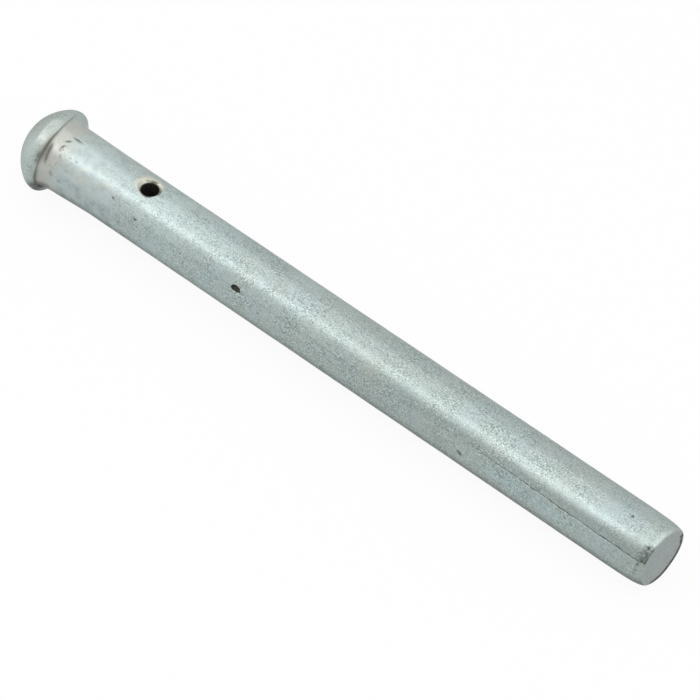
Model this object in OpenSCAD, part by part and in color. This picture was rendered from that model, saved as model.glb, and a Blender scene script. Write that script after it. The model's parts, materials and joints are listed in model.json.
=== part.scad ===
// Headed brake pad pin: a cold-headed steel pin with a button head, a drilled split pin hole
// near the head and a cropped, tapered tail. Millimetres.
// The pin lies as on a flat surface: the rim of the head and the shoulder of the tail touch
// Z = 0, +X runs from the head to the tail, and the split pin hole stands upright. The origin is
// on that surface, below the middle of the pin.

/* [Shank] */
// Diameter of the shank
shank_d = 12; // [9:0.5:13.5]
// Length of the shank, from the end of the head's fillet to the end face
shank_l = 130.3; // [80:0.1:200]
// Extra radius that heading leaves on the shank at the head
neck_swell = 0.25; // [0.05:0.05:0.4]
// Length over which the swelling runs out
neck_l = 9; // [4:0.5:14]

/* [Head] */
// Diameter of the head at its rim
head_d = 15.7; // [15:0.1:20]
// Height of the head, from the end of its fillet to the top of the dome
head_h = 8.2; // [7:0.1:12]
// Radius of the rounded rim, on the side of the dome
rim_r = 2.2; // [1.8:0.1:3]
// Radius of the rim's edge, on the side of the shank
edge_r = 0.45; // [0.2:0.05:0.8]
// Fillet between the head and the shank
corner_r = 2.95; // [2:0.05:3.5]
// Where the crease runs on the fillet, as an angle from the end on the shank
crease_angle = 34; // [10:1:45]
// Width of the crease
crease_w = 0.4; // [0.2:0.05:0.6]
// Depth of the crease
crease_depth = 0.3; // [0.1:0.05:0.6]

/* [Split pin hole] */
// Diameter of the hole
hole_d = 3.2; // [2:0.1:5]
// Distance of the hole's axis from the end of the head's fillet
hole_from_head = 18.1; // [12:0.1:40]
// Depth of the chamfer at both mouths of the hole
hole_chamfer = 0.7; // [0.2:0.1:1]

/* [Tail] */
// Length of the tapered end
taper_l = 3.5; // [2:0.5:10]
// Radius lost over the taper
taper_drop = 0.4; // [0.2:0.05:1]
// Radius of the rounded edge at the end face
tail_edge_r = 0.6; // [0.2:0.05:1]

/* [Flaws of the bar] */
// Where the pit and the lap seam lie, as an angle round the shank from the hole towards -Y
flaw_angle = 62; // [20:1:100]
// Distance of the pit from the axis of the split pin hole
pit_from_hole = 24.2; // [10:0.1:60]
// Length of the pit along the shank
pit_l = 1.9; // [1.2:0.1:4]
// Width of the pit
pit_w = 1.05; // [0.5:0.05:1.2]
// Depth of the pit
pit_depth = 0.9; // [0.3:0.1:2]
// Length of the lap seam, measured from the end face
seam_l = 30; // [10:1:60]
// Width of the lap seam where it is deepest
seam_w = 0.35; // [0.1:0.05:0.6]
// Depth of the lap seam below the taper, at the end face
seam_depth = 0.25; // [0.1:0.05:0.6]
// Length over which the lap seam gapes open at the end face
gape_l = 2; // [1:0.5:4]
// Width of the gape at the end face
gape_w = 1.2; // [0.8:0.1:2]

/* [Hidden] */
$fn = 96;
// How far cutters and joined profiles reach past the faces that they meet
overlap = 0.5;
// How far arcs that blend into a neighbour are set into it, so that the two cross cleanly
bite = 0.003;

shank_r = shank_d / 2;
neck_r = shank_r + neck_swell;
taper_start = shank_l - taper_l;
taper_end_r = shank_r - taper_drop;
taper_angle = atan2(taper_drop, taper_l);

// Fillet: a circle that blends into the rim's edge from outside, and into the neck at Z = 0
fillet_inset = corner_r - bite;
fillet_centre_r = neck_r + fillet_inset;
// Rim: a large arc from the dome to the widest point and a small one on to the fillet
rim_centre_r = head_d / 2 - rim_r;
edge_centre_r = head_d / 2 - edge_r + bite;
rim_z = -sqrt(pow(edge_r + fillet_inset, 2) - pow(fillet_centre_r - edge_centre_r, 2));
// Dome: a sphere centred on the axis that the rim's circle blends into from inside
dome_above_rim = head_h + rim_z;
dome_inset = rim_r - bite;
dome_r = (pow(dome_above_rim, 2) + pow(rim_centre_r, 2) - pow(dome_inset, 2))
    / (2 * (dome_above_rim - dome_inset));
dome_z = dome_r - head_h;
// Direction from the dome's centre through the rim's centre, where the two arcs join
join_angle = atan2(rim_z - dome_z, rim_centre_r);
// Where the core of the head starts inside the dome, and ends inside the shank
core_start_z = min(dome_z, rim_z) - overlap;
core_end_z = max(dome_z, 0) + overlap;
// Where the neck starts, inside the fillet and in line with its own slope
neck_start = corner_r / 2;
neck_start_r = neck_r + neck_start * neck_swell / neck_l;
// Rounded edge of the tail: a circle that blends into the taper and the end face
tail_inset = tail_edge_r - bite;
tail_edge_centre_r = taper_end_r - tail_inset * (1 - sin(taper_angle)) / cos(taper_angle);
tail_edge_z = shank_l - tail_inset;

// Lie of the pin on a flat surface, on the rim of the head and the shoulder where the taper starts
rest_span = taper_start - rim_z;
rest_drop = shank_r - edge_centre_r;
rest_angle = asin(edge_r / norm([rest_span, rest_drop])) - atan2(rest_drop, rest_span);
rest_z = taper_start * sin(rest_angle) + shank_r * cos(rest_angle);
head_end_x = dome_z * cos(rest_angle) - dome_r;
tail_end_x = shank_l * cos(rest_angle) + tail_edge_centre_r * sin(rest_angle);
rest_x = -(head_end_x + tail_end_x) / 2;

// Turns a shape that points along +X about the pin's axis: 0 faces up, 90 faces -Y
module facing(angle) {
    rotate([0, 0, 180 + angle]) children();
}

// Wedge between two directions, less than half a turn apart, out to a reach
module wedge(from, to, reach) {
    polygon([
        [0, 0],
        reach * [cos(from), sin(from)],
        reach * [cos((from + to) / 2), sin((from + to) / 2)],
        reach * [cos(to), sin(to)]
    ]);
}

// In the profiles X is the radius and Y runs along the pin, from 0 where the head's fillet ends

// Slice of the dome, from the axis to where the rim takes over
module dome_profile() {
    translate([0, dome_z]) intersection() {
        circle(dome_r);
        wedge(-90, join_angle, 2 * dome_r);
    }
}

// Rim, from inside the dome to its widest point, and its edge
module rim_profile() {
    translate([rim_centre_r, rim_z]) intersection() {
        circle(rim_r);
        wedge(join_angle - 20, 0, 2 * rim_r);
    }
    translate([edge_centre_r, rim_z]) circle(edge_r);
}

// Core of the head, from inside the dome and the rim to inside the shank, hollowed by the fillet
module core_profile() {
    difference() {
        polygon([
            [0, core_start_z],
            [edge_centre_r, rim_z],
            [fillet_centre_r, 0],
            [neck_r, 0],
            [shank_r - overlap, core_end_z],
            [0, core_end_z]
        ]);
        translate([fillet_centre_r, 0]) circle(corner_r);
    }
}

// Fold left by heading on the underside of the head
module crease_profile() {
    translate([fillet_centre_r, 0]) rotate(180 + crease_angle)
        polygon([
            [corner_r + crease_depth, 0],
            [corner_r - crease_depth, -crease_w],
            [corner_r - crease_depth, crease_w]
        ]);
}

module head_profile() {
    difference() {
        union() {
            dome_profile();
            rim_profile();
            core_profile();
        }
        crease_profile();
    }
}

// Sharp corner that is taken off the end of the taper
module tail_corner_profile() {
    translate([tail_edge_centre_r, tail_edge_z]) difference() {
        wedge(taper_angle, 90, 4 * tail_edge_r);
        circle(tail_edge_r);
    }
}

// Neck, straight shank and taper, with the rounded edge of the tail
module shank_profile() {
    difference() {
        polygon([
            [0, -neck_start],
            [neck_start_r, -neck_start],
            [shank_r, neck_l],
            [shank_r, taper_start],
            [taper_end_r, shank_l],
            [0, shank_l]
        ]);
        tail_corner_profile();
    }
}

// Cross hole for a split pin, chamfered at both mouths
module split_pin_hole() {
    translate([0, 0, hole_from_head]) rotate([0, 90, 0]) {
        cylinder(h = 2 * shank_d, d = hole_d, center = true);
        for (side = [0, 180])
            rotate([side, 0, 0]) translate([0, 0, shank_r - hole_chamfer])
                cylinder(h = 2 * hole_chamfer, r1 = hole_d / 2, r2 = hole_d / 2 + 2 * hole_chamfer);
    }
}

// Small oval pit in the side of the shank
module pit() {
    half_run = (pit_l - pit_w) / 2;
    translate([0, 0, hole_from_head + pit_from_hole]) facing(flaw_angle)
        translate([shank_r - pit_depth, 0, 0]) rotate([0, 90, 0]) linear_extrude(2 * pit_depth) {
            for (end = [-half_run, half_run])
                translate([end, 0]) circle(d = pit_w);
            square([2 * half_run, pit_w], center = true);
        }
}

// Lap seam: a groove that starts at the surface, deepens towards the end face and gapes there
module lap_seam() {
    end_depth = taper_drop + seam_depth;
    facing(flaw_angle) {
        translate([shank_r, 0, shank_l]) rotate([0, -atan2(end_depth, seam_l), 0])
            translate([0, 0, -seam_l - overlap]) linear_extrude(seam_l + 2 * overlap)
                polygon([[-end_depth, 0], [end_depth, -seam_w], [end_depth, seam_w]]);
        translate([taper_end_r, 0, shank_l - gape_l])
            cylinder(h = gape_l + overlap, r1 = 0, r2 = gape_w / 2 * (gape_l + overlap) / gape_l);
    }
}

// The whole pin, with its axis along Z and its head down. The revolved faces start and end along
// the lap seam, so that they are whole where the pin rests.
module pin_body() {
    difference() {
        facing(flaw_angle) rotate_extrude() {
            head_profile();
            shank_profile();
        }
        split_pin_hole();
        pit();
        lap_seam();
    }
}

module pin() {
    color("#b4beb9") translate([rest_x, 0, rest_z]) rotate([0, 90 + rest_angle, 0]) pin_body();
}

pin();
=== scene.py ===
"""Looks of the brake pad pin: a dull zinc-plated pin with a drilled hole, lying on a pale floor."""

import json
import math
from collections import namedtuple

import bmesh
import bpy
import numpy as np
from mathutils import Matrix, Vector, noise


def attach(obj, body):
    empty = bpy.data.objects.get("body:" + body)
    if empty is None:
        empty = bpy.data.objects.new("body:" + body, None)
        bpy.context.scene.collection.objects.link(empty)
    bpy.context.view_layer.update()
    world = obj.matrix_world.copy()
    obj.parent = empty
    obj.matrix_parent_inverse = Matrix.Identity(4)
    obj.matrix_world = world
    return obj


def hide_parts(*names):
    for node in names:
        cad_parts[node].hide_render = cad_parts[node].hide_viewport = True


# Lengths are in mm and angles in degrees, in the pin's own frame: x runs out through the top of
# the hole, y points round the shank towards the camera, z runs along the pin from where the fillet
# under the head ends to the tail. Angles round the pin go from x towards y.
MM = 0.001

# Shank and tail
SHANK_R = 6.0
NECK_SWELL = 0.25
NECK_END = 9.0
LEAD_END = 2.0
TAIL_START = 121.6
END_Z = 130.3
TAIL_SAG = 0.13
TAIL_CROWN = 0.45
TAIL_EDGE = 0.3
# The end face is cropped a little out of square, proud on this side
TAIL_LEAN = 0.18
PROUD_SIDE = -57.0

# Head: the dome and the rounded rim, as arcs of the profile
DOME_R = 8.724
DOME_Z = 0.377
RIM_R = 2.2
RIM_CENTRE_R = 5.65
RIM_Z = -2.885
RIM_START = -30.0

# Underside of the head: the rim turns in by an angle and a hollow fillet leads on to the shank.
# On the far side the turn is tight; towards the camera the rim laps further over.
Underside = namedtuple("Underside", "edge_r edge_centre_r turn fillet_r fillet_centre_r fillet_z")
FAR_SIDE = Underside(0.45, 7.40, 58.1, 2.95, 9.20, 0.0)
NEAR_SIDE = Underside(2.20, 5.65, 45.0, 3.26, 9.48, 0.98)
EDGE_ROWS = 34
FILLET_ROWS = 22
LEAD_ROWS = 6
# Scale along the underside that the crease is placed on: where the rim and the fillet meet, and
# the value off the underside
FOLD_MID = 45.0
NO_FOLD = -90.0

# The head sits a little off the shank's axis, towards this side
HEAVY_SIDE = 127.3
HEAD_OFFSET = 0.115
NECK_OFFSET = 0.16

# Cross hole
HOLE_Z = 18.1
HOLE_R = 1.6
COUNTERSINK = 0.7
HOLE_WINDOW = 3.0

# Pit
PIT_Z = 42.3
PIT_ANGLE = 62.2
PIT_HALF_L = 0.95
PIT_HALF_W = 0.525
PIT_DEPTH = 0.9
PIT_WINDOW = 1.6

# Camera in the pin's frame, fitted to the photograph
CAMERA_PLACE = (673.571, 514.812, 428.909)
CAMERA_AHEAD = (-0.729903, -0.557397, -0.395664)
CAMERA_RIGHT = (0.078718, -0.643528, 0.761363)
CAMERA_LENS = 282.857

FLOOR_DROP = 0.06
FLOOR_HALF = 3.0


def pin_matrix(record):
    """From the pin's own frame, in mm, to the row frame, in metres, by the record's mounts."""
    mounts = {mount["name"]: mount for mount in record["mounts"]}
    along = Vector(mounts["shank"]["axis"])
    upward = Vector(mounts["split_pin_hole"]["axis"])
    turn = Matrix((upward, along.cross(upward), along)).transposed().to_4x4()
    start = Vector(mounts["split_pin_hole"]["pos_m"]) - along * HOLE_Z * MM
    return Matrix.Translation(start) @ turn @ Matrix.Scale(MM, 4)


def smooth(x, start, end):
    """0 at start, 1 at end, with soft ends in between."""
    t = np.clip((x - start) / (end - start), 0.0, 1.0)
    return t * t * (3.0 - 2.0 * t)


def bell(x, middle, half):
    """1 in the middle, falling away smoothly on both sides."""
    return np.exp(-(((x - middle) / half) ** 2))


def ripple(points, size, seed):
    """Smooth noise from about -1 to 1, with features of that size in mm."""
    shift = Vector((7.3 * seed, 3.1 * seed, 5.7 * seed))
    values = [noise.noise(Vector(p) / size + shift) for p in points.reshape(-1, 3)]
    return np.array(values).reshape(points.shape[:-1])


def turned(angle):
    """Angle brought to between -180 and 180."""
    return (angle + 180.0) % 360.0 - 180.0


def round_the_shank(angle):
    """Length round the shank of an angle."""
    return np.radians(turned(angle)) * SHANK_R


def steps(start, end, size):
    """Values from start up to, but without, end, about that far apart."""
    count = max(1, round(abs(end - start) / size))
    return np.linspace(start, end, count, endpoint=False)


def shares(count):
    """Shares of a way in that many equal steps, without its start."""
    return np.linspace(0.0, 1.0, count + 1)[1:]


# Rows of the profile hold the radius, the height, the outward direction in both, and the place
# on the underside of the head

def rows_of(r, z, out_r, out_z, fold=NO_FOLD):
    return np.stack(np.broadcast_arrays(r, z, out_r, out_z, fold), axis=-1).astype(float)


def arc(centre_r, centre_z, radius, angles, fold=NO_FOLD):
    """Rows on an arc of the profile."""
    t = np.radians(angles)
    r = centre_r + radius * np.cos(t)
    z = centre_z + radius * np.sin(t)
    return rows_of(r, z, np.cos(t), np.sin(t), fold)


def neck_radius(z):
    """Radius of the shank, which swells towards the head and is rounded off at the tail."""
    swell = NECK_SWELL * np.clip((NECK_END - z) / NECK_END, 0.0, 1.0)
    q = np.clip((z - TAIL_START) / (END_Z - TAIL_START), 0.0, 1.0)
    return SHANK_R + swell - TAIL_SAG * q**2 - TAIL_CROWN * q**8


def straight(z):
    """Rows of the shank."""
    step = 0.01
    slope = (neck_radius(z + step) - neck_radius(z)) / step
    size = np.hypot(1.0, slope)
    return rows_of(neck_radius(z), z, 1.0 / size, -slope / size)


def shank_heights():
    """Heights of the rows along the shank, closer at the hole, at the pit and at the tail."""
    return np.concatenate([
        steps(LEAD_END, NECK_END, 0.35) + 0.35,
        steps(NECK_END, HOLE_Z - HOLE_WINDOW, 0.42)[1:],
        steps(HOLE_Z - HOLE_WINDOW, HOLE_Z + HOLE_WINDOW, 0.3),
        steps(HOLE_Z + HOLE_WINDOW, PIT_Z - PIT_WINDOW, 0.45),
        steps(PIT_Z - PIT_WINDOW, PIT_Z + PIT_WINDOW, 0.2),
        steps(PIT_Z + PIT_WINDOW, 96.0, 0.48),
        steps(96.0, TAIL_START, 0.36),
        steps(TAIL_START, END_Z - TAIL_EDGE, 0.2),
    ])


def tail_edge():
    """Rounded edge between the tail and the end face."""
    start_z = END_Z - TAIL_EDGE
    start_r, _, out_r, out_z, _ = straight(np.array([start_z]))[0]
    start = math.degrees(math.atan2(out_z, out_r))
    radius = TAIL_EDGE / (1.0 - out_z)
    return arc(start_r - radius * out_r, END_Z - radius, radius, np.linspace(start, 90.0, 9))


def underside(shape):
    """Rows from the widest point of the rim to the straight neck."""
    share = shares(EDGE_ROWS)
    edge = arc(shape.edge_centre_r, RIM_Z, shape.edge_r, shape.turn * share, FOLD_MID * share)
    share = shares(FILLET_ROWS)
    fillet = arc(
        shape.fillet_centre_r, shape.fillet_z, shape.fillet_r, 180.0 + shape.turn * (1.0 - share),
        FOLD_MID * (1.0 + share))
    fillet[:, 2:4] *= -1.0
    lead = straight(shape.fillet_z + (LEAD_END - shape.fillet_z) * shares(LEAD_ROWS))
    return np.concatenate([edge, fillet, lead])


def lap(angle):
    """1 where the rim laps over, towards the camera, and 0 on the far side."""
    return smooth(angle, -45.0, 5.0) * (1.0 - smooth(angle, 98.0, 126.0))


def profile(angles):
    """Rows at each angle, from the top of the dome to the middle of the end face, without the two
    points on the axis."""
    dome = arc(0.0, DOME_Z, DOME_R, np.linspace(-90.0, RIM_START, 36)[1:-1])
    rim = arc(RIM_CENTRE_R, RIM_Z, RIM_R, np.linspace(RIM_START, 0.0, 14))
    edge = tail_edge()
    face_r = edge[-1, 0] - np.concatenate([steps(0.08, 1.08, 0.11), steps(1.08, edge[-1, 0], 0.33)])
    before = np.concatenate([dome, rim])
    after = np.concatenate([straight(shank_heights()), edge, rows_of(face_r, END_Z, 0.0, 1.0)])
    far = np.concatenate([before, underside(FAR_SIDE), after])
    near = np.concatenate([before, underside(NEAR_SIDE), after])
    mixed_rows = far[:, None] + lap(angles)[None, :, None] * (near - far)[:, None]
    size = np.hypot(mixed_rows[..., 2], mixed_rows[..., 3])
    mixed_rows[..., 2:4] /= size[..., None]
    return mixed_rows


def column_angles():
    """Angles of the columns of points, closer along the flaws and the same about both mouths of
    the hole."""
    return np.concatenate([
        steps(-63.0, 45.0, 1.8),
        steps(45.0, 55.5, 1.5),
        steps(55.5, 69.0, 0.75),
        steps(69.0, 126.0, 1.78),
        steps(126.0, 153.0, 4.5),
        steps(153.0, 207.0, 1.8),
        steps(207.0, 258.0, 3.4),
        steps(258.0, 297.0, 1.95),
    ])


# Small flaws of the shank: height, angle, half length along the pin, half width round it, slant,
# depth, and how dark they are
Spot = namedtuple("Spot", "z angle half_l half_w slant depth dark")
SPOTS = (
    Spot(19.45, 61.4, 0.28, 0.24, 0.0, 0.12, 0.90),
    Spot(13.94, 51.4, 0.32, 0.22, 20.0, 0.10, 0.85),
    Spot(92.04, 84.2, 0.52, 0.30, 30.0, 0.10, 1.00),
    Spot(123.89, 7.2, 0.26, 0.24, 0.0, 0.12, 0.95),
    Spot(0.84, 13.7, 0.58, 0.19, -38.0, 0.10, 0.75),
    Spot(0.68, 25.7, 0.46, 0.18, -58.0, 0.10, 0.70),
    Spot(1.95, 2.6, 1.05, 0.16, 0.0, 0.08, 0.85),
    Spot(2.87, 81.7, 0.42, 0.18, 0.0, 0.06, 0.50),
    Spot(0.98, 75.9, 0.50, 0.42, 30.0, 0.04, 0.32),
    Spot(0.65, 32.7, 0.30, 0.40, 0.0, 0.05, 0.30),
    Spot(3.20, 36.0, 0.24, 0.22, 0.0, 0.04, 0.32),
    Spot(4.50, 35.7, 0.24, 0.22, 0.0, 0.04, 0.30),
    Spot(26.17, 14.1, 0.22, 0.16, 0.0, 0.05, 0.40),
    Spot(26.17, 62.2, 0.18, 0.14, 0.0, 0.05, 0.35),
    Spot(9.69, -44.7, 0.35, 0.18, 0.0, 0.05, 0.55),
    Spot(126.10, 11.3, 0.24, 0.10, 0.0, 0.04, 0.45),
    Spot(127.53, 18.6, 0.16, 0.14, 0.0, 0.04, 0.40),
    Spot(126.66, 33.6, 0.14, 0.12, 0.0, 0.04, 0.45),
    Spot(124.98, 12.8, 0.20, 0.10, 0.0, 0.04, 0.35),
    Spot(129.45, 37.0, 0.26, 0.34, 0.0, 0.10, 0.80),
    Spot(129.60, 61.0, 0.24, 0.36, 0.0, 0.14, 0.60),
    Spot(129.10, 71.0, 0.26, 0.34, 0.0, 0.12, 0.70),
    Spot(129.85, 48.0, 0.16, 0.50, 0.0, 0.10, 0.60),
    Spot(129.10, 82.0, 0.26, 0.26, 0.0, 0.06, 0.50),
    Spot(129.00, 92.0, 0.26, 0.22, 0.0, 0.06, 0.50),
    Spot(102.90, 62.6, 0.45, 0.14, 0.0, 0.04, 0.45),
    Spot(107.90, 57.2, 0.40, 0.16, 0.0, 0.04, 0.45),
    Spot(110.80, 62.8, 0.45, 0.14, 0.0, 0.04, 0.45),
    Spot(94.70, 13.6, 0.35, 0.20, 30.0, 0.04, 0.45),
    Spot(100.00, 23.6, 0.40, 0.14, 20.0, 0.04, 0.40),
    Spot(64.70, 9.6, 0.30, 0.18, 0.0, 0.04, 0.40),
    Spot(74.20, 1.6, 0.30, 0.20, 0.0, 0.04, 0.45),
    Spot(63.80, 77.2, 0.35, 0.14, 0.0, 0.04, 0.40),
    Spot(62.20, 53.2, 0.35, 0.14, 0.0, 0.04, 0.35),
    Spot(71.20, 88.0, 0.40, 0.14, 0.0, 0.04, 0.35),
)


def spot_mask(z, angle, spot):
    """1 in the middle of a small flaw, 0 outside it."""
    run = z - spot.z
    over = round_the_shank(angle - spot.angle)
    lean = math.radians(spot.slant)
    u = (run * math.cos(lean) + over * math.sin(lean)) / spot.half_l
    v = (over * math.cos(lean) - run * math.sin(lean)) / spot.half_w
    return np.exp(-((u**2 + v**2) ** 1.5))


# Where the crease runs: angle round the pin and place on the underside
CREASE_ANGLES = (-20.0, 0.0, 22.0, 42.0, 54.0, 60.0, 70.0, 80.0, 94.0, 105.0, 123.0)
CREASE_PLACES = (46.0, 42.0, 46.5, 44.5, 48.0, 46.5, 42.5, 43.5, 39.5, 42.0, 70.0)
TWIN_ANGLES = (35.0, 65.0)
TWIN_PLACES = (55.5, 62.0)
# Steps to both sides that the bends of the crease are eased over
EASE = (-6.0, -3.0, 0.0, 3.0, 6.0)


def crease_line(angle):
    """Place of the crease on the underside, with its bends eased."""
    near_by = [np.interp(angle + step, CREASE_ANGLES, CREASE_PLACES) for step in EASE]
    return np.mean(near_by, axis=0) + 0.8 * np.sin(np.radians(angle) * 11.0)


def crease_mask(fold, angle):
    """Fold under the rim, which opens towards its lower end."""
    half = 4.0 + 3.0 * smooth(angle, 10.0, 50.0) - 1.5 * bell(angle, 74.0, 10.0)
    fade = smooth(angle, -32.0, -14.0) * (1.0 - smooth(angle, 122.0, 135.0))
    return bell(fold, crease_line(angle), half) * fade * (0.65 + 0.35 * smooth(angle, 5.0, 45.0))


def twin_mask(fold, angle):
    """Short streak beside the crease."""
    line = np.interp(angle, TWIN_ANGLES, TWIN_PLACES)
    fade = smooth(angle, 26.0, 38.0) * (1.0 - smooth(angle, 56.0, 68.0))
    return bell(fold, line, 5.6) * fade


def smudge_and_under_head_shade(fold, angle, grit):
    """Smudge on the dome's side of the crease, and painted shade low down under the head."""
    past = fold - crease_line(angle)
    smudge = bell(past, -18.0, 8.0) * bell(angle, 57.0, 11.0) * smooth(grit, -0.6, 0.2)
    low = smooth(angle, 95.0, 112.0) * bell(past, 0.0, 42.0) * (1.0 - smooth(angle, 150.0, 175.0))
    return 0.55 * smudge + 0.80 * low


def crease_shade(fold, angle):
    """Painted shade beside the crease, on the dome's side, where the dome curves in to the fold; tinted
    olive.
    """
    past = fold - crease_line(angle)
    return bell(past, -9.0, 12.0) * smooth(angle, 8.0, 45.0) * (1.0 - smooth(angle, 60.0, 74.0))


def collar_shade(z, angle):
    """Painted shade low on the collar, under the head; tinted brown."""
    return 0.24 * bell(z, -0.8, 1.4) * smooth(angle, 68.0, 94.0) * (1.0 - smooth(angle, 130.0, 150.0))


def freckles(z, angle, base):
    """Small dark specks along the lower border of the collar."""
    specks = smooth(ripple(base, 0.45, 8), 0.25, 0.55) * bell(z, 0.9, 0.8)
    return specks * smooth(angle, 16.0, 26.0) * (1.0 - smooth(angle, 78.0, 92.0))


def lower_side_shade(z, angle):
    """Painted shade along the lower side of the shank, towards the tail."""
    return smooth(angle, 103.0, 118.0) * (1.0 - smooth(angle, 140.0, 165.0)) * smooth(z, 45.0, 105.0)


def olive_film(z, angle):
    """Olive film above the lap seam, by the tail."""
    start = 38.0 - 10.0 * smooth(z, 122.0, 127.0)
    above = smooth(angle, start, start + 10.0) * (1.0 - smooth(angle - seam_line(z), -1.0, 1.0))
    return above * (0.10 * smooth(z, 110.0, 122.0) + 0.08 * smooth(z, 122.0, 128.0))


def seam_line(z):
    """Angle of the lap seam at a height."""
    drift = 60.0 + 4.2 * smooth(z, 92.0, 128.0)
    return drift + 0.35 * np.sin(z * 0.9) + 0.3 * np.sin(z * 2.3 + 1.0) + 0.25 * np.sin(z * 6.1)


def seam_mask(z, angle, grit):
    """1 in the lap seam, which is broken at first and opens towards the tail."""
    grown = smooth(z, 90.0, 112.0)
    half = 0.075 + 0.045 * smooth(z, 100.0, 128.0) + 0.05 * smooth(z, 121.0, 127.0)
    broken = smooth(grit + 1.3 * grown, 0.0, 0.7)
    open_part = smooth(z, 84.0, 96.0) * (0.75 + 0.45 * grit)
    return bell(round_the_shank(angle - seam_line(z)), 0.0, half) * broken * open_part


def local_points(r, z, angle):
    t = np.radians(angle)
    return np.stack([r * np.cos(t), r * np.sin(t), z + 0.0 * t], axis=-1)


def skin(rows, angle):
    """Finished points of the skin, with the marks that its material reads."""
    r, z, out_r, out_z, fold = np.moveaxis(rows, -1, 0)
    base = local_points(r, z, angle)
    grit = ripple(base, 0.8, 4)
    crease = crease_mask(fold, angle)
    twin = twin_mask(fold, angle)
    seam = seam_mask(z, angle, grit) * (out_z < 0.9)
    lumps = 0.018 * ripple(base, 7.0, 1) + 0.010 * ripple(base, 2.6, 2) + 0.006 * ripple(base, 1.0, 3)
    push = lumps - 0.22 * crease - 0.08 * twin - 0.20 * seam
    # Besides real flaws, this darkest mark carries painted shade: part of the crease's dark colour in the
    # fold (the rest is olive grime), low under the head, along the lower side of the shank and round the
    # tail's edges.
    soot_and_shade = crease * (0.08 + 0.30 * bell(angle, 90.0, 9.0)) + 0.68 * twin + 0.72 * seam
    soot_and_shade = soot_and_shade + smudge_and_under_head_shade(fold, angle, grit)
    soot_and_shade = soot_and_shade + 0.35 * freckles(z, angle, base) + 0.35 * lower_side_shade(z, angle) * (out_z < 0.9)
    on_shank = ((fold < 0.0) | (fold > 70.0)) & (out_z < 0.95)
    for spot in SPOTS:
        mask = spot_mask(z, angle, spot) * on_shank
        push = push - spot.depth * mask
        soot_and_shade = soot_and_shade + spot.dark * mask
    soot_and_shade = soot_and_shade + tail_shade_and_chips(rows, angle, base)
    lean = TAIL_LEAN * r / SHANK_R * np.cos(np.radians(angle - PROUD_SIDE)) * smooth(z, 125.0, END_Z)
    sheared = tail_flat(z, angle) * r / SHANK_R
    points = local_points(r - sheared + push * out_r, z + push * out_z + lean, angle)
    neck = np.clip((NECK_END - z) / NECK_END, 0.0, 1.0)
    offset = (HEAD_OFFSET + (NECK_OFFSET - HEAD_OFFSET) * smooth(z, -1.4, -0.4)) * neck
    points[..., 0] += offset * math.cos(math.radians(HEAVY_SIDE))
    points[..., 1] += offset * math.sin(math.radians(HEAVY_SIDE))
    marks = {
        # Dark flaws, with painted shade
        "soot_and_shade": np.clip(soot_and_shade, 0.0, 1.0),
        # Olive grime, the hole's burr and the film by the tail, with painted shade in the crease, beside
        # it on the dome's side and low on the collar.
        "grime_and_shade": np.clip(
            0.58 * crease * (1.0 - 0.45 * bell(angle, 66.0, 16.0))
            + 0.50 * crease_shade(fold, angle) + burr_mask(z, angle, grit)
            + collar_shade(z, angle) + olive_film(z, angle) * (out_z < 0.9), 0.0, 1.0),
        "collar": collar_mask(z, base),
        "cream": cream_mask(z, angle, base),
        "cool": cool_mask(z, angle, base),
        # Painted light: painted highlights and lighter metal where the light falls.
        "painted_light": painted_light_mask(z, out_z, angle, base),
        "quiet": quiet_mask(z),
        # Tarnish, with painted shade above and below the lap seam and along the lower side.
        "tarnish_and_shade": tarnish_and_shade_mask(rows, angle, base),
        "end_face": smooth(out_z, 0.80, 0.97) * (z > TAIL_START),
    }
    return points, marks


def tail_flat(z, angle):
    """How far the cropped end is flattened on the far side, and drawn out beside the flat."""
    flat = 0.26 * bell(turned(angle - 222.0), 0.0, 28.0)
    corner = 0.13 * bell(turned(angle - 283.0), 0.0, 18.0)
    return (flat - corner) * smooth(z, 127.5, END_Z)


# Chips along the far edge of the end face: angle, radius, half sizes outwards and round the axis
Chip = namedtuple("Chip", "angle r half_out half_round")
CHIPS = (
    Chip(290.5, 4.90, 0.52, 0.58),
    Chip(279.0, 4.66, 0.40, 0.44),
    Chip(270.5, 4.76, 0.40, 0.44),
)


def chip_mask(r, angle, chip):
    """1 in a chip, 0 outside it."""
    over = np.radians(turned(angle - chip.angle)) * chip.r
    reach = np.hypot((r - chip.r) / chip.half_out, over / chip.half_round)
    return 1.0 - smooth(reach, 0.6, 1.2)


def tail_shade_and_chips(rows, angle, base):
    """Painted shade as a dark line along the far rounded edge of the end face and along the bruised
    stretch of the near edge, and dark chips in the far edge.
    """
    r, z, _, out_z, _ = np.moveaxis(rows, -1, 0)
    fine = ripple(base, 0.45, 9)
    edge_r = tail_edge()[-1, 0]
    width = 0.36 + 0.62 * np.cos(np.radians(angle - 217.0)) ** 2
    inner = smooth(r + 0.12 * fine, edge_r - width - 0.15, edge_r - width + 0.15)
    on_edge = np.where(out_z > 0.95, inner, smooth(out_z, 0.0, 0.4))
    away = 1.0 - smooth(np.abs(turned(angle - 209.0)), 49.0, 63.0)
    line = on_edge * away * smooth(fine, -1.2, -0.1)
    near_edge = smooth(out_z, 0.5, 0.9) * (out_z < 0.95) * near_seam(angle + 4.0 * fine)
    pits = sum(chip_mask(r, angle, chip) for chip in CHIPS) * (out_z > 0.95)
    return (line + pits + 0.5 * near_edge) * (z > TAIL_START)


def near_seam(angle):
    """1 along the part of the near edge that is bruised, by the end of the lap seam."""
    return smooth(angle, 27.0, 38.0) * (1.0 - smooth(angle, 60.0, 70.0))


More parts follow.
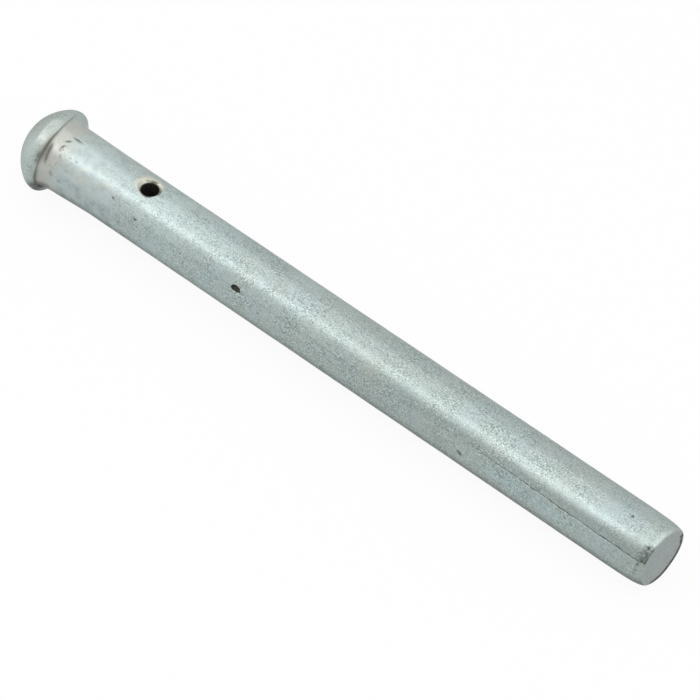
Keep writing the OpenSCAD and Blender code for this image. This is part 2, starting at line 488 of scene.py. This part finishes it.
def bruise_mask(z, angle, base):
    """Bruised patch where the lap seam meets the near edge of the end face."""
    fine = ripple(base, 0.45, 9)
    patch = smooth(z + 0.3 * fine, 128.2, 129.5) * (0.75 + 0.5 * fine)
    return near_seam(angle + 4.0 * fine) * (patch + 0.4 * bell(z + 0.25 * fine, 129.35, 0.18))


def burr_mask(z, angle, grit):
    """Brown burr along the upper edge of the hole."""
    over = round_the_shank(angle)
    ring = bell(np.hypot(over, z - HOLE_Z), HOLE_R + 0.20, 0.26)
    away = -0.89 * over - 0.46 * (z - HOLE_Z)
    return 0.9 * ring * smooth(away, 1.42, 1.75) * smooth(grit, -0.9, 0.0)


def painted_light_mask(z, out_z, angle, base):
    """Painted light: a painted highlight along the near edge of the end face and in a streak towards the
    tail, and lighter metal towards the head, along the upper side and on the dome, where the light falls.
    """
    fine = ripple(base, 0.6, 10)
    near = 1.0 - smooth(np.abs(turned(angle - 3.0)), 16.0, 28.0)
    edge = near * smooth(z + 0.35 * fine, 129.2, 129.9) * (out_z < 0.97)
    pale = 0.38 * (1.0 - smooth(z, 22.0, 46.0)) * (1.0 - bell(z, -0.5, 2.5)) + 0.13 * bell(z, 56.0, 10.0)
    limit = 76.0 - 9.0 * smooth(z, 14.0, 20.0) + 50.0 * (1.0 - smooth(z, -3.6, -2.2))
    pale = pale * (1.0 - smooth(angle, limit - 15.0, limit))
    pale = pale * (1.0 - 0.75 * (1.0 - smooth(z, -3.0, -1.8)) * (1.0 - smooth(angle, 26.0, 44.0)))
    upper = bell(angle, -45.0, 20.0) * smooth(z, 35.0, 55.0) * (1.0 - smooth(z, 95.0, 118.0))
    cap = (1.0 - smooth(z, -3.6, -2.2)) * smooth(angle, 25.0, 60.0) * (1.0 - smooth(angle, 118.0, 138.0))
    streak = bell(angle, 39.0, 6.5) * smooth(z, 92.0, 108.0) * (1.0 - smooth(z, 121.0, 127.0))
    return np.clip(0.6 * edge + pale + 0.25 * upper + 0.22 * cap + 0.40 * streak, 0.0, 1.0)


def quiet_mask(z):
    """Quieter grain on the head, on the neck and a little towards the tail."""
    head_and_neck = (1.0 - smooth(z, 8.0, 22.0)) * (0.5 + 0.5 * smooth(z, -3.0, -1.0))
    return head_and_neck + 0.4 * smooth(z, 106.0, 120.0)


def collar_mask(z, base):
    """Pale stain under the head."""
    blotch = 0.5 + 0.5 * ripple(base, 1.2, 5)
    ragged = 0.35 * ripple(base, 1.3, 6) + 0.2 * ripple(base, 0.5, 7)
    inside = smooth(z, -1.9, -0.9) * (1.0 - smooth(z + 2.0 * ragged, 0.3, 3.6))
    return inside * (0.15 + 0.6 * blotch)


def cream_mask(z, angle, base):
    """Pale stain on the neck and about the hole."""
    blotch = 0.5 + 0.5 * ripple(base, 1.2, 5)
    ragged = 0.35 * ripple(base, 1.3, 6) + 0.2 * ripple(base, 0.5, 7)
    drips = bell(z, 8.0, 6.0) * bell(angle, 46.0, 22.0) * smooth(blotch + 0.5 * ragged, 0.35, 0.75)
    over = round_the_shank(angle)
    reach = np.hypot(over + 0.15, z - HOLE_Z + 0.35) + ragged
    upper_left = smooth(-over - 0.5 * (z - HOLE_Z), -2.0, 1.6)
    halo = (1.0 - smooth(reach, 2.1, 2.9)) * (0.35 + 0.65 * upper_left)
    return np.clip(0.50 * drips + halo * (0.55 + 0.6 * blotch), 0.0, 1.0)


def cool_mask(z, angle, base):
    """Bluer metal past the hole and below the lap seam."""
    along = smooth(z, 93.0, 98.0) * (1.0 - smooth(z, 108.0, 126.0))
    by_hole = smooth(z, 18.0, 23.0) * (1.0 - smooth(z, 36.0, 46.0)) * (1.0 - smooth(angle, 95.0, 120.0))
    share = along * bell(angle, 80.0, 12.0) + 0.5 * by_hole
    return share * (0.6 + 0.4 * ripple(base, 3.0, 12))


def tarnish_and_shade_mask(rows, angle, base):
    """Darker skin: painted shade above the lap seam, below it and most on the lower side; tarnish half
    way along, along a faint line, in blots on the dome and mottled on the neck, with the bruise by the
    tail.
    """
    r, z, _, out_z, _ = np.moveaxis(rows, -1, 0)
    grit = ripple(base, 0.8, 4)
    blots = smooth(ripple(base, 1.6, 11), 0.2, 0.7) * (1.0 - smooth(z, -3.2, -2.2))
    blots = blots * (1.0 - 0.8 * smooth(angle, 10.0, 70.0))
    above = smooth(angle, 42.0, 52.0) * (1.0 - smooth(turned(angle - seam_line(z)), -1.0, 1.0))
    above = above * smooth(z, 62.0, 90.0)
    below = smooth(turned(angle - seam_line(z)), -1.0, 1.0) * (1.0 - smooth(angle, 150.0, 175.0))
    below = below * (smooth(z, 40.0, 95.0) + 0.6 * smooth(z, 123.0, 129.0))
    lowest = turned(angle) - 6.0 * (1.0 - smooth(z, -3.2, -2.2))
    low = smooth(lowest, 96.0, 115.0) * (1.0 - smooth(angle, 165.0, 180.0)) * smooth(r, 4.0, 6.5)
    faint = bell(angle, PIT_ANGLE, 3.0) * smooth(z, 20.0, 28.0) * (1.0 - smooth(z, 88.0, 98.0))
    # above, below and low are painted shade; the other parts are tarnish.
    tone = 0.43 * above + 0.20 * below + low + 0.09 * bell(z, 70.0, 13.0) + 0.22 * blots
    tone = tone + 0.2 * faint + 0.08 * bell(z, 78.0, 7.0) * bell(angle, 8.0, 22.0)
    mottle = smooth(ripple(base, 1.5, 13) + 0.6 * ripple(base, 0.6, 14), -0.2, 0.6)
    tone = tone + 0.42 * mottle * smooth(z, 0.5, 4.0) * (1.0 - smooth(z, 13.0, 24.0))
    tone = tone * (0.85 + 0.3 * grit) + bruise_mask(z, angle, base)
    return np.clip(tone * (out_z < 0.9), 0.0, 1.0)


MARKS = ("soot_and_shade", "grime_and_shade", "collar", "cream", "cool", "painted_light", "quiet", "tarnish_and_shade", "end_face")


class Shell:
    """Points, faces and marks of the pin while it is put together."""

    def __init__(self):
        self.points = []
        self.faces = []
        self.finish = []
        self.marks = {name: [] for name in MARKS}

    def add(self, points, marks):
        """Adds points and gives back their numbers, in the same arrangement."""
        first = len(self.points)
        shape = points.shape[:-1]
        self.points.extend(points.reshape(-1, 3).tolist())
        for name, values in self.marks.items():
            mark_values = np.broadcast_to(marks.get(name, 0.0), shape)
            values.extend(mark_values.reshape(-1).tolist())
        return first + np.arange(int(np.prod(shape))).reshape(shape)

    def band(self, outer, inner, finish=0):
        """Faces between two closed loops of points."""
        quads = np.stack([outer, np.roll(outer, -1), np.roll(inner, -1), inner], axis=1)
        self.faces.extend(quads.tolist())
        self.finish.extend([finish] * len(outer))

    def fan(self, loop, tip, finish=0):
        """Faces from a closed loop to one point."""
        after = np.roll(loop, -1)
        self.faces.extend([[int(a), int(b), int(tip)] for a, b in zip(loop, after)])
        self.finish.extend([finish] * len(loop))

    def chain(self, last, points, marks, finish=0):
        """Adds a loop of points inside the last one and the faces between them."""
        loop = self.add(points, marks)
        self.band(last, loop, finish)
        return loop


def span(values, low, high):
    """First and last place in rising values that lie from low to high."""
    places = np.nonzero((values > low - 1e-6) & (values < high + 1e-6))[0]
    return int(places[0]), int(places[-1])


def border(block):
    """The numbers round the edge of a block of points, anticlockwise from outside."""
    return np.concatenate([block[0, :-1], block[:-1, -1], block[-1, :0:-1], block[:0:-1, 0]])


def grid(shell, windows):
    """Main skin of the pin, open at the windows; gives back its points' numbers and the loop
    round each window."""
    angles = column_angles()
    rows = profile(turned(angles))
    points, marks = skin(rows, np.broadcast_to(turned(angles), rows.shape[:2]))
    ids = shell.add(points, marks)
    heights = np.where(rows[:, 0, 0] > SHANK_R - 0.2, rows[:, 0, 1], -1.0)
    closed = np.ones((len(rows) - 1, len(angles)), bool)
    loops = []
    for middle, half, low_angle, high_angle in windows:
        first, last = span(heights, middle - half, middle + half)
        left, right = span(angles, low_angle, high_angle)
        closed[first:last, left:right] = False
        loops.append(border(ids[first:last + 1, left:right + 1]))
    for nearer, further, kept in zip(ids[:-1], ids[1:], closed):
        quads = np.stack([nearer, np.roll(nearer, -1), np.roll(further, -1), further], axis=1)[kept]
        shell.faces.extend(quads.tolist())
        shell.finish.extend([0] * len(quads))
    return ids, loops


def shank_skin(z, angle):
    """Skin of the straight shank at any height and angle."""
    return skin(rows_of(SHANK_R, z, 1.0, 0.0), angle)


def soft_min(a, b, width):
    """Smaller of two values, rounded where they cross."""
    h = np.clip(0.5 + 0.5 * (b - a) / width, 0.0, 1.0)
    return b + (a - b) * h - width * h * (1.0 - h)


def hole_mouth(shell, loop, side):
    """Countersunk mouth of the cross hole and its wall, as far as the pin's axis. side is 1 at
    the top and -1 at the bottom."""
    rim = np.array([shell.points[i] for i in loop])
    across = SHANK_R * np.sin(np.arctan2(rim[:, 1], np.abs(rim[:, 0])))
    bearing = np.arctan2(across, rim[:, 2] - HOLE_Z)
    reach = np.hypot(across, rim[:, 2] - HOLE_Z)
    last = loop
    for share in shares(13):
        ring = reach + (HOLE_R - reach) * share**0.8
        y = ring * np.sin(bearing)
        z = HOLE_Z + ring * np.cos(bearing)
        angle = np.degrees(np.arctan2(y, side * np.sqrt(SHANK_R**2 - y**2)))
        points, marks = shank_skin(z, angle)
        cone = SHANK_R - COUNTERSINK + (ring - HOLE_R)
        sunk = soft_min(np.abs(points[:, 0]), cone, 0.12)
        # Painted shade in the countersink, reaching further on the side towards the camera.
        near = np.clip(0.82 * np.sin(bearing) + 0.57 * np.cos(bearing), 0.0, 1.0)
        shaded_reach = HOLE_R + 0.12 + 0.64 * near**2
        darkening = 0.9 * (1.0 - smooth(ring, shaded_reach - 0.10 - 0.12 * near, shaded_reach + 0.04))
        marks["soot_and_shade"] = np.maximum(marks["soot_and_shade"], darkening)
        last = shell.chain(last, np.stack([side * sunk, y, z], axis=1), marks)
    y = HOLE_R * np.sin(bearing)
    z = HOLE_Z + HOLE_R * np.cos(bearing)
    for share in shares(12):
        x = np.full_like(y, side * (SHANK_R - COUNTERSINK) * (1.0 - share))
        last = shell.chain(last, np.stack([x, y, z], axis=1), {}, finish=1)


def pit_hollow(shell, loop):
    """Oval pit with a ragged rim and an uneven floor."""
    rim = np.array([shell.points[i] for i in loop])
    over = round_the_shank(np.degrees(np.arctan2(rim[:, 1], rim[:, 0])) - PIT_ANGLE)
    run = rim[:, 2] - PIT_Z
    bearing = np.arctan2(over / PIT_HALF_W, run / PIT_HALF_L)
    ragged = 1.0 + 0.06 * np.sin(bearing * 3.0 + 0.5) + 0.05 * np.sin(bearing * 7.0)
    edge_over = PIT_HALF_W * ragged * np.sin(bearing)
    edge_run = PIT_HALF_L * ragged * np.cos(bearing)
    last = loop
    for share in shares(8):
        angle = PIT_ANGLE + np.degrees((over + (edge_over - over) * share) / SHANK_R)
        points, marks = shank_skin(PIT_Z + run + (edge_run - run) * share, angle)
        # Painted shade: a dark ring round the pit's rim.
        marks["soot_and_shade"] = np.maximum(marks["soot_and_shade"], 0.95 * smooth(share, 0.80, 1.0))
        last = shell.chain(last, points, marks)
    for sink, keep in ((0.12, 0.97), (0.30, 0.90), (0.45, 0.75), (0.55, 0.45)):
        dip = 0.10 * np.sin(bearing * 2.0 + 1.0)
        r = np.full_like(over, SHANK_R) - PIT_DEPTH * (sink + dip * sink)
        angle = PIT_ANGLE + np.degrees(edge_over * keep / SHANK_R)
        last = shell.chain(last, local_points(r, PIT_Z + edge_run * keep, angle), {}, finish=2)
    tip = local_points(np.array([SHANK_R - PIT_DEPTH]), np.array([PIT_Z]), np.array([PIT_ANGLE]))
    shell.fan(last, shell.add(tip, {})[0], finish=2)


def pin_shell():
    """The whole skin of the pin."""
    shell = Shell()
    windows = (
        (HOLE_Z, HOLE_WINDOW, -27.0, 27.0),
        (HOLE_Z, HOLE_WINDOW, 153.0, 207.0),
        (PIT_Z, PIT_WINDOW, 55.5, 69.0),
    )
    ids, loops = grid(shell, windows)
    hole_mouth(shell, loops[0], 1.0)
    hole_mouth(shell, loops[1], -1.0)
    pit_hollow(shell, loops[2])
    heavy = math.radians(HEAVY_SIDE)
    top = (HEAD_OFFSET * math.cos(heavy), HEAD_OFFSET * math.sin(heavy), DOME_Z - DOME_R)
    shell.fan(ids[0][::-1], shell.add(np.array([top]), {})[0])
    shell.fan(ids[-1], shell.add(np.array([(0.0, 0.0, END_Z)]), {"end_face": 1.0})[0])
    return shell


def build_pin(to_row, materials):
    """The pin as one closed mesh in the row frame."""
    shell = pin_shell()
    used = np.unique(np.concatenate([np.array(face) for face in shell.faces]))
    number = np.full(len(shell.points), -1)
    number[used] = np.arange(len(used))
    points = [to_row @ Vector(shell.points[i]) for i in used]
    faces = [[int(number[i]) for i in face] for face in shell.faces]
    mesh = bpy.data.meshes.new("pin_skin")
    mesh.from_pydata(points, [], faces)
    for material in materials:
        mesh.materials.append(material)
    mesh.polygons.foreach_set("material_index", np.array(shell.finish, int))
    mesh.polygons.foreach_set("use_smooth", np.ones(len(faces), bool))
    for name, values in shell.marks.items():
        layer = mesh.attributes.new(name, "FLOAT", "POINT")
        layer.data.foreach_set("value", np.array(values, float)[used])
    weld(mesh)
    mesh.set_sharp_from_angle(angle=math.radians(50.0))
    piece = bpy.data.objects.new("pin_skin", mesh)
    bpy.context.scene.collection.objects.link(piece)
    return piece


def weld(mesh):
    """Joins the two halves of the hole's wall where they meet."""
    work = bmesh.new()
    work.from_mesh(mesh)
    bmesh.ops.remove_doubles(work, verts=work.verts, dist=0.002 * MM)
    work.to_mesh(mesh)
    work.free()


def join(tree, socket, value):
    """Sets a socket to a value, or links another node's output to it."""
    if isinstance(value, bpy.types.NodeSocket):
        tree.links.new(value, socket)
    else:
        socket.default_value = value


def node(tree, kind, inputs=None, **settings):
    """Adds a shader node; an input is a value or another node's output."""
    made = tree.nodes.new(kind)
    for name, value in settings.items():
        setattr(made, name, value)
    for name, value in (inputs or {}).items():
        join(tree, made.inputs[name], value)
    return made


def speckle(tree, coords, size, detail, low, high):
    """Noise with features of that size in mm, spread from 0 to 1 between two levels."""
    grain = node(tree, "ShaderNodeTexNoise", {
        "Vector": coords, "Scale": 1.0 / (size * MM), "Detail": detail, "Roughness": 0.6})
    spread = node(tree, "ShaderNodeMapRange", {
        "Value": grain.outputs["Fac"], "From Min": low, "From Max": high})
    return spread.outputs["Result"]


def mixed(tree, share, first, second):
    """Colour between two others."""
    mix = node(tree, "ShaderNodeMix", {0: share, 6: first, 7: second}, data_type="RGBA")
    return mix.outputs[2]


def times(tree, first, second):
    return node(tree, "ShaderNodeMath", {0: first, 1: second}, operation="MULTIPLY").outputs[0]


def larger(tree, first, second):
    return node(tree, "ShaderNodeMath", {0: first, 1: second}, operation="MAXIMUM").outputs[0]


GREEN_GREY = (0.424, 0.488, 0.464, 1.0)
BLUE_GREY = (0.402, 0.480, 0.488, 1.0)
WARM_GREY = (0.436, 0.460, 0.424, 1.0)
DARK_SPECKLE = (0.165, 0.205, 0.192, 1.0)
# Pale flecks of the grain, and the colour of the painted highlights and painted light.
PALE_FLECK_AND_HIGHLIGHT = (0.575, 0.660, 0.645, 1.0)
PORE = (0.090, 0.105, 0.095, 1.0)
# Tarnish, and painted shade above and below the lap seam and along the lower side.
TARNISH_AND_SHADE = (0.150, 0.182, 0.168, 1.0)
CREAM = (0.585, 0.582, 0.495, 1.0)
COLLAR = (0.507, 0.480, 0.431, 1.0)
COOL = (0.385, 0.520, 0.540, 1.0)
END_GREY = (0.385, 0.412, 0.422, 1.0)
END_WARM = (0.388, 0.408, 0.355, 1.0)
# Olive grime, and painted shade in and beside the crease and low on the collar.
GRIME_AND_SHADE = (0.125, 0.122, 0.086, 1.0)
# Soot-dark flaws; also painted shade in the crease, under the head, along the lower side, round the
# tail's edges, in the hole's countersink and round the pit's rim
SOOT_AND_SHADE = (0.030, 0.032, 0.028, 1.0)
# Grain of the plating: size in mm, the two noise levels that it spreads between, strength, tint
GRAINS = (
    (0.17, 0.46, 0.60, 0.80, DARK_SPECKLE),
    (0.55, 0.50, 0.70, 0.42, DARK_SPECKLE),
    (1.20, 0.60, 0.74, 0.35, DARK_SPECKLE),
    (0.22, 0.52, 0.65, 0.78, PALE_FLECK_AND_HIGHLIGHT),
    (0.50, 0.66, 0.72, 0.80, PORE),
)
GRAIN_STRETCH = (0.6, 1.0, 1.0)
EDGE_TINT = (0.64, 0.66, 0.65, 1.0)


def mark(tree, name):
    return node(tree, "ShaderNodeAttribute", attribute_name=name).outputs["Fac"]


def new_material(name):
    """A material with its node tree, its shader and object coordinates."""
    made = bpy.data.materials.new(name)
    made.use_nodes = True
    tree = made.node_tree
    coords = node(tree, "ShaderNodeTexCoord").outputs["Object"]
    return made, tree, tree.nodes["Principled BSDF"], coords


def plated_material():
    """Dull zinc plating: cool and warm tints, fine dark speckle, stains and dirt in the folds."""
    made, tree, shader, coords = new_material("zinc_plating")
    colour = mixed(tree, speckle(tree, coords, 9.0, 2.0, 0.42, 0.62), GREEN_GREY, BLUE_GREY)
    warm = times(tree, speckle(tree, coords, 12.0, 2.0, 0.50, 0.68), 0.8)
    colour = mixed(tree, warm, colour, WARM_GREY)
    face = mixed(tree, speckle(tree, coords, 2.2, 3.0, 0.45, 0.65), END_GREY, END_WARM)
    colour = mixed(tree, mark(tree, "end_face"), colour, face)
    # Tarnish, with painted shade
    colour = mixed(tree, mark(tree, "tarnish_and_shade"), colour, TARNISH_AND_SHADE)
    colour = mixed(tree, mark(tree, "cool"), colour, COOL)
    # Painted highlights and painted light
    colour = mixed(tree, mark(tree, "painted_light"), colour, PALE_FLECK_AND_HIGHLIGHT)
    drawn = node(tree, "ShaderNodeMapping", {"Vector": coords, "Scale": GRAIN_STRETCH}).outputs["Vector"]
    patches = node(tree, "ShaderNodeMapRange", {
        "Value": speckle(tree, coords, 4.0, 2.0, 0.35, 0.65), "To Min": 0.50, "To Max": 1.30})
    calm = node(tree, "ShaderNodeMapRange", {"Value": mark(tree, "painted_light"), "To Min": 1.0, "To Max": 0.3})
    quiet = node(tree, "ShaderNodeMapRange", {"Value": mark(tree, "quiet"), "To Min": 1.0, "To Max": 0.4})
    spread = times(tree, patches.outputs["Result"], calm.outputs["Result"])
    spread = times(tree, spread, quiet.outputs["Result"])
    for size, low, high, strength, tint in GRAINS:
        grain = times(tree, speckle(tree, drawn, size, 3.0, low, high), strength)
        colour = mixed(tree, times(tree, grain, spread), colour, tint)
    colour = mixed(tree, mark(tree, "collar"), colour, COLLAR)
    colour = mixed(tree, mark(tree, "cream"), colour, CREAM)
    # Grime, with painted shade in and beside the crease
    colour = mixed(tree, mark(tree, "grime_and_shade"), colour, GRIME_AND_SHADE)
    # Dark flaws and painted shade
    colour = mixed(tree, mark(tree, "soot_and_shade"), colour, SOOT_AND_SHADE)
    join(tree, shader.inputs["Base Color"], colour)
    dull = node(tree, "ShaderNodeMapRange", {
        "Value": speckle(tree, coords, 1.6, 3.0, 0.3, 0.7), "To Min": 0.28, "To Max": 0.40})
    join(tree, shader.inputs["Roughness"], dull.outputs["Result"])
    bump = node(tree, "ShaderNodeBump", {
        "Height": speckle(tree, coords, 0.35, 4.0, 0.2, 0.8), "Strength": 0.5, "Distance": 0.02 * MM})
    join(tree, shader.inputs["Normal"], bump.outputs["Normal"])
    darkening = larger(tree, mark(tree, "soot_and_shade"), mark(tree, "grime_and_shade"))
    metal = node(tree, "ShaderNodeMapRange", {"Value": darkening, "To Min": 0.9, "To Max": 0.0})
    join(tree, shader.inputs["Metallic"], metal.outputs["Result"])
    shader.inputs["Specular IOR Level"].default_value = 0.1
    shader.inputs["Specular Tint"].default_value = EDGE_TINT
    return made


def scale_and_shade_material(name, dark, light):
    """Dull finish in hollows, mottled between two colours: near-black painted shade on the hole's wall,
    dark scale in the pit.
    """
    made, tree, shader, coords = new_material(name)
    colour = mixed(tree, speckle(tree, coords, 0.4, 3.0, 0.35, 0.65), dark, light)
    join(tree, shader.inputs["Base Color"], colour)
    shader.inputs["Roughness"].default_value = 0.7
    shader.inputs["Metallic"].default_value = 0.2
    return made


def seen_directly(tree):
    """1 for rays that show the background: from the camera, mirrored or through glass."""
    path = node(tree, "ShaderNodeLightPath").outputs
    mirrored = larger(tree, path["Is Glossy Ray"], path["Is Transmission Ray"])
    return larger(tree, path["Is Camera Ray"], mirrored)


FLOOR_GLOW = 0.93
FLOOR_COLOUR = (0.86, 0.86, 0.86, 1.0)
WHITE = (1.0, 1.0, 1.0, 1.0)
WORLD_LIGHT = 0.75


def floor_material():
    """White where it is seen, with the pin's shadow kept."""
    made = bpy.data.materials.new("pale_floor")
    made.use_nodes = True
    tree = made.node_tree
    tree.nodes.remove(tree.nodes["Principled BSDF"])
    matte = node(tree, "ShaderNodeBsdfDiffuse", {"Color": FLOOR_COLOUR})
    glow = node(tree, "ShaderNodeEmission", {"Color": WHITE, "Strength": 1.0})
    share = times(tree, seen_directly(tree), FLOOR_GLOW)
    mix = node(tree, "ShaderNodeMixShader", {0: share, 1: matte.outputs[0], 2: glow.outputs[0]})
    join(tree, tree.nodes["Material Output"].inputs["Surface"], mix.outputs[0])
    return made


def build_floor():
    mesh = bpy.data.meshes.new("floor")
    z = -FLOOR_DROP * MM
    corners = [(x * FLOOR_HALF, y * FLOOR_HALF, z) for x, y in ((-1, -1), (1, -1), (1, 1), (-1, 1))]
    mesh.from_pydata(corners, [], [(0, 1, 2, 3)])
    mesh.materials.append(floor_material())
    floor = bpy.data.objects.new("floor", mesh)
    bpy.context.scene.collection.objects.link(floor)


def light_world():
    """White surroundings where they are seen, and plain soft light."""
    world = bpy.data.worlds.new("studio")
    world.use_nodes = True
    bpy.context.scene.world = world
    tree = world.node_tree
    sky = tree.nodes["Background"]
    sky.inputs["Color"].default_value = WHITE
    level = node(tree, "ShaderNodeMapRange", {
        "Value": seen_directly(tree), "To Min": WORLD_LIGHT, "To Max": 1.0})
    join(tree, sky.inputs["Strength"], level.outputs["Result"])


# Soft boxes above the pin: place in metres, length along the pin, width across it, and how much
# brighter they are than the white surroundings
SOFT_BOXES = (
    ("key_box", (0.10, -0.323, 0.581), (2.0, 0.24), 1.15),
    ("top_box", (0.10, 0.073, 0.636), (2.0, 0.62), 0.42),
    ("head_box", (-0.90, -0.050, 0.600), (0.7, 0.90), 0.36),
)


def build_lights():
    for name, place, size, glow in SOFT_BOXES:
        lamp = bpy.data.lights.new(name, "AREA")
        lamp.shape = "RECTANGLE"
        lamp.size, lamp.size_y = size
        lamp.energy = glow * math.pi * size[0] * size[1]
        box = bpy.data.objects.new(name, lamp)
        box.location = place
        aim = Vector((place[0], 0.0, 0.0)) - Vector(place)
        box.rotation_mode = "QUATERNION"
        box.rotation_quaternion = aim.to_track_quat("-Z", "Y")
        bpy.context.scene.collection.objects.link(box)


def build_camera(to_row):
    data = bpy.data.cameras.new("camera")
    data.lens = CAMERA_LENS
    data.sensor_width = 36.0
    data.clip_start = 0.01
    data.clip_end = 20.0
    camera = bpy.data.objects.new("camera", data)
    turn = to_row.to_3x3().normalized()
    ahead = turn @ Vector(CAMERA_AHEAD).normalized()
    right = turn @ Vector(CAMERA_RIGHT).normalized()
    upward = right.cross(ahead).normalized()
    camera.matrix_world = (
        Matrix.Translation(to_row @ Vector(CAMERA_PLACE))
        @ Matrix((right, upward, -ahead)).transposed().to_4x4())
    bpy.context.scene.collection.objects.link(camera)
    bpy.context.scene.camera = camera


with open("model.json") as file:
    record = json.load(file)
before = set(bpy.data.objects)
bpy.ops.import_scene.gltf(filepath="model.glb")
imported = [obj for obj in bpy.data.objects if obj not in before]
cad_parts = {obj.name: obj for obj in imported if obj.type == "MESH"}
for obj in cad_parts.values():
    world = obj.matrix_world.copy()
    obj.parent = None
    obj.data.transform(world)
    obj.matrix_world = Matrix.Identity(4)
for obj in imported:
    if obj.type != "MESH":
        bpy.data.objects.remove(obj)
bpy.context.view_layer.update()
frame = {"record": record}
bpy.context.scene.view_settings.view_transform = "Standard"
to_row = pin_matrix(frame["record"])
build_camera(to_row)
light_world()
build_lights()
build_floor()
pin = build_pin(to_row, (
    plated_material(),
    # The hole's wall is near-black painted shade.
    scale_and_shade_material("hole_wall_shade", (0.006, 0.005, 0.004, 1.0), (0.030, 0.022, 0.015, 1.0)),
    scale_and_shade_material("pit_scale", (0.012, 0.011, 0.009, 1.0), (0.098, 0.088, 0.070, 1.0)),
))
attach(pin, "root")
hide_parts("pin")
